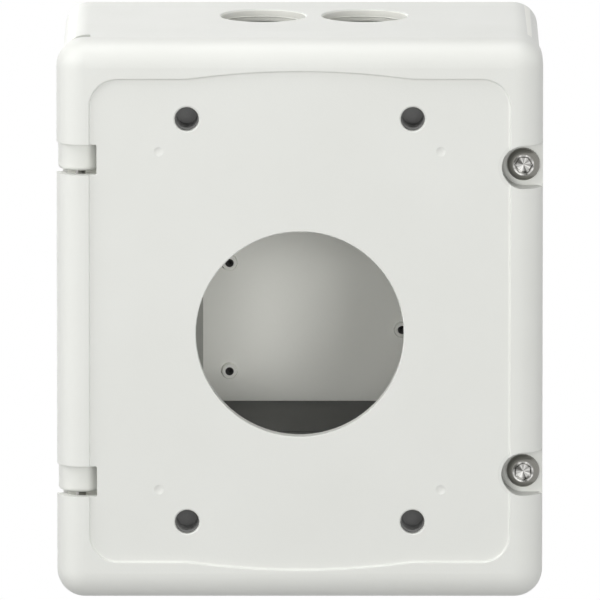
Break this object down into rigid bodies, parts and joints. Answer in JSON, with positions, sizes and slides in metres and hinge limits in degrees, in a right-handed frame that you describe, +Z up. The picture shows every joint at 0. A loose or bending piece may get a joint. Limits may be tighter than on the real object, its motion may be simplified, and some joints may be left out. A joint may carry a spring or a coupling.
{
  "type": "camera junction box",
  "caption": "Wall-mounted junction box with a hinged door, large cable hole, bracket fixings, captive screws and top conduit entries.",
  "frame": {"origin": "centre of the flat back face", "axes": "+Z up, the door faces -Y, +X to the right seen from the front"},
  "size_m": [0.2, 0.118, 0.2332],
  "materials": {
    "cast_paint": "warm white powder coat with a fine orange peel",
    "door_paint": "warm white powder coat with a fine orange peel",
    "seal": "matt black silicone",
    "stainless": "turned stainless steel",
    "bush_steel": "dark zinc plated steel",
    "module_case": "dark grey moulded case",
    "terminal_plastic": "black moulded plastic",
    "brass_clamp": "plated brass"
  },
  "bodies": {
    "housing": {"rear_housing": "cast_paint", "housing_top": "cast_paint", "seal_frame": "cast_paint", "partition": "cast_paint", "screw_bush_upper": "bush_steel", "screw_bush_lower": "bush_steel", "power_module": "module_case", "power_screw_left": "stainless", "power_screw_right": "stainless", "terminal_block": "terminal_plastic", "terminal_clamps": "brass_clamp", "terminal_screw_upper": "stainless", "terminal_screw_lower": "stainless", "earth_stud": "brass_clamp", "earth_washer": "brass_clamp", "earth_nut": "brass_clamp"},
    "door": {"front_door": "door_paint", "door_gasket": "seal", "hinge_pin_upper": "stainless", "hinge_pin_lower": "stainless", "bracket_bush_upper_left": "bush_steel", "bracket_bush_upper_right": "bush_steel", "bracket_bush_lower_left": "bush_steel", "bracket_bush_lower_right": "bush_steel"},
    "upper_screw": {"captive_screw_upper": "stainless"},
    "upper_ring": {"retaining_ring_upper": "stainless"},
    "lower_screw": {"captive_screw_lower": "stainless"},
    "lower_ring": {"retaining_ring_lower": "stainless"}
  },
  "joints": [
    {"name": "door_hinge", "type": "hinge", "parent": "housing", "child": "door", "pos_m": [-0.0901, -0.1015, 0], "axis": [0, 0, -1], "range_deg": [0, 100]},
    {"name": "upper_screw_travel", "type": "slide", "parent": "door", "child": "upper_ring", "axis": [0, -1, 0], "range_m": [0, 0.0092]},
    {"name": "upper_screw_turn", "type": "hinge", "parent": "upper_ring", "child": "upper_screw", "pos_m": [0.092, -0.107, 0.064], "axis": [0, -1, 0], "continuous": true},
    {"name": "lower_screw_travel", "type": "slide", "parent": "door", "child": "lower_ring", "axis": [0, -1, 0], "range_m": [0, 0.0092]},
    {"name": "lower_screw_turn", "type": "hinge", "parent": "lower_ring", "child": "lower_screw", "pos_m": [0.092, -0.107, -0.064], "axis": [0, -1, 0], "continuous": true}
  ]
}
